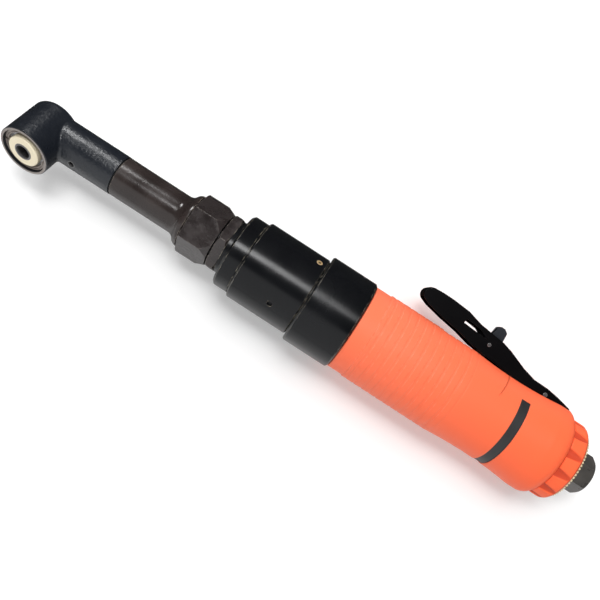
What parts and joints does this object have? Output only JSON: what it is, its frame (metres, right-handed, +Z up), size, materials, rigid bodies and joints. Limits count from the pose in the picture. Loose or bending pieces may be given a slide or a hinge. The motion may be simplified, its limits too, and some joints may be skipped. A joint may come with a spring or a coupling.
{
  "type": "right-angle pneumatic drill driver",
  "caption": "Right-angle air drill driver: threaded spindle in a leaning angle head, gear case, orange grip with throttle lever and latch, exhaust cap and hex air inlet.",
  "frame": {"origin": "centre of the air inlet's mouth, on the tool axis", "axes": "+X along the tool axis from the angle head to the air inlet, pointing out of the inlet; +Y towards the throttle lever; +Z up with the tool lying on its side"},
  "size_m": [0.3151, 0.061, 0.0458],
  "materials": {
    "blued_steel": "satin black oxide on turned steel",
    "black_tube": "polished black-brown oxide",
    "nut_steel": "dark oxide with edges worn bright",
    "black_case": "satin black",
    "black_stamping": "satin black paint on stamped steel",
    "orange_grip": "satin moulded orange plastic",
    "dark_band": "matte black film",
    "black_steel": "satin black oxide",
    "bright_steel": "ground bright",
    "gear_steel": "hardened and ground",
    "bronze": "turned bronze",
    "brass": "turned brass",
    "aluminium": "cast and machined",
    "phenolic": "cotton-filled phenolic sheet",
    "seal_rubber": "nitrile rubber",
    "gasket_paper": "graphite gasket",
    "felt": "pressed felt"
  },
  "bodies": {
    "housing": {"angle_housing": "blued_steel", "neck_screw": "black_steel", "front_spindle_bearing": "gear_steel", "rear_spindle_bearing": "gear_steel", "bearing_retainer": "bright_steel", "front_pinion_bearing": "gear_steel", "pinion_spacer": "gear_steel", "rear_pinion_bearing": "gear_steel", "pinion_bearing_nut": "gear_steel", "seam_ring": "seal_rubber", "extension_tube": "black_tube", "shaft_bearing": "gear_steel", "coupling_nut": "nut_steel", "lock_nut": "nut_steel", "case_front_cap": "black_case", "gear_case": "black_case", "grease_plug": "black_steel", "case_pin": "brass", "carrier_bearing": "gear_steel", "ring_gear": "gear_steel", "ring_gear_spacer": "aluminium", "front_end_plate": "gear_steel", "front_rotor_bearing": "gear_steel", "motor_cylinder": "gear_steel", "motor_dowel": "gear_steel", "rear_end_plate": "gear_steel", "rear_rotor_bearing": "gear_steel", "motor_gasket": "gasket_paper", "motor_housing": "black_case", "handle_shell": "orange_grip", "label_band": "dark_band", "valve_body": "aluminium", "pin_bush": "brass", "valve_seat": "seal_rubber", "chamber_plug": "brass", "valve_spring": "bright_steel", "lever_pin": "bright_steel", "inlet_bushing": "black_steel", "inlet_screen": "brass"},
    "rotor": {"rotor": "gear_steel", "rotor_vanes": "phenolic", "sun_gear": "gear_steel"},
    "drive_line": {"planet_carrier": "gear_steel", "planet_pins": "gear_steel", "drive_shaft": "gear_steel", "bevel_pinion": "gear_steel"},
    "planet_1": {"planet_gear_1": "gear_steel"},
    "planet_2": {"planet_gear_2": "gear_steel"},
    "planet_3": {"planet_gear_3": "gear_steel"},
    "spindle": {"output_spindle": "bright_steel", "nose_ring": "bronze", "spindle_bevel_gear": "gear_steel"},
    "throttle_lever": {"throttle_lever": "black_stamping", "latch_pin": "bright_steel", "latch_spring": "bright_steel"},
    "throttle_valve": {"throttle_pin": "bright_steel"},
    "lock_latch": {"lock_latch": "black_steel"},
    "exhaust_cap": {"exhaust_cap": "orange_grip", "exhaust_screen": "brass", "muffler_felt": "felt"}
  },
  "joints": [
    {"name": "rotor_spin", "type": "hinge", "parent": "housing", "child": "rotor", "pos_m": [-0.1214, 0, 0], "axis": [1, 0, 0], "continuous": true},
    {"name": "drive_spin", "type": "hinge", "parent": "housing", "child": "drive_line", "pos_m": [-0.2, 0, 0], "axis": [1, 0, 0], "continuous": true},
    {"name": "planet_spin_1", "type": "hinge", "parent": "drive_line", "child": "planet_1", "pos_m": [-0.1774, 0.01013, 0], "axis": [1, 0, 0], "continuous": true},
    {"name": "planet_spin_2", "type": "hinge", "parent": "drive_line", "child": "planet_2", "pos_m": [-0.1774, -0.00506, 0.00877], "axis": [1, 0, 0], "continuous": true},
    {"name": "planet_spin_3", "type": "hinge", "parent": "drive_line", "child": "planet_3", "pos_m": [-0.1774, -0.00506, -0.00877], "axis": [1, 0, 0], "continuous": true},
    {"name": "spindle_spin", "type": "hinge", "parent": "housing", "child": "spindle", "pos_m": [-0.3024, 0, 0], "axis": [0, -0.7986, 0.6018], "continuous": true},
    {"name": "throttle_press", "type": "hinge", "parent": "housing", "child": "throttle_lever", "pos_m": [-0.0384, 0.0221, 0], "axis": [0, 0, 1], "range_deg": [0, 3.5], "stiffness_Nm_per_rad": 0.6, "springref_deg": -28.65},
    {"name": "valve_slide", "type": "slide", "parent": "housing", "child": "throttle_valve", "axis": [0, -1, 0], "range_m": [0, 0.00123], "deforming": ["valve_spring"]},
    {"name": "latch_tilt", "type": "hinge", "parent": "throttle_lever", "child": "lock_latch", "pos_m": [-0.073, 0.0275, 0], "axis": [0, 0, 1], "range_deg": [0, 30], "stiffness_Nm_per_rad": 0.01, "springref_deg": -28.65},
    {"name": "cap_turn", "type": "hinge", "parent": "housing", "child": "exhaust_cap", "pos_m": [-0.016, 0, 0], "axis": [1, 0, 0], "continuous": true}
  ],
  "couplings": [
    {"joint": "drive_spin", "follows": "rotor_spin", "ratio": 0.22222},
    {"joint": "planet_spin_1", "follows": "rotor_spin", "ratio": -0.62222},
    {"joint": "planet_spin_2", "follows": "rotor_spin", "ratio": -0.62222},
    {"joint": "planet_spin_3", "follows": "rotor_spin", "ratio": -0.62222},
    {"joint": "spindle_spin", "follows": "rotor_spin", "ratio": -0.16667},
    {"joint": "valve_slide", "follows": "throttle_press", "m_per_rad": 0.02}
  ]
}
